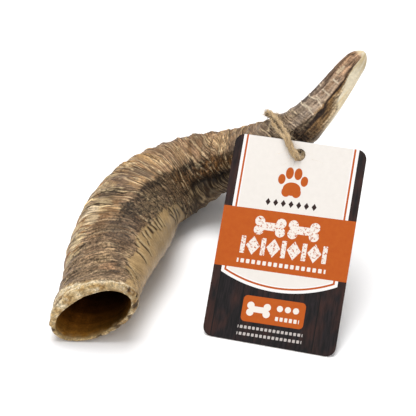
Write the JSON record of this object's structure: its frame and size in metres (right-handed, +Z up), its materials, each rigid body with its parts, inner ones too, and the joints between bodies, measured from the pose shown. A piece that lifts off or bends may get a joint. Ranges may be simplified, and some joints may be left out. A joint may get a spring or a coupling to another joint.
{
  "type": "sheep horn dog chew",
  "caption": "Curved hollow sheep horn with growth rings, lying on its belly with the tip up, and a printed card tag tied on by jute twine.",
  "frame": {"origin": "on the floor, below the middle of the whole object's box", "axes": "+Z up, the horn's mouth and the tag's printed face look towards -Y, the tip rises at the +X side"},
  "size_m": [0.129, 0.1233, 0.0979],
  "materials": {
    "horn": "raw horn, brown and grey bark over cream horn, ringed and scaly",
    "printed_card": "printed card, uncoated",
    "jute": "plied jute twine, hairy"
  },
  "bodies": {
    "root": {"horn": "horn", "tag": "printed_card", "twine": "jute"}
  },
  "joints": []
}
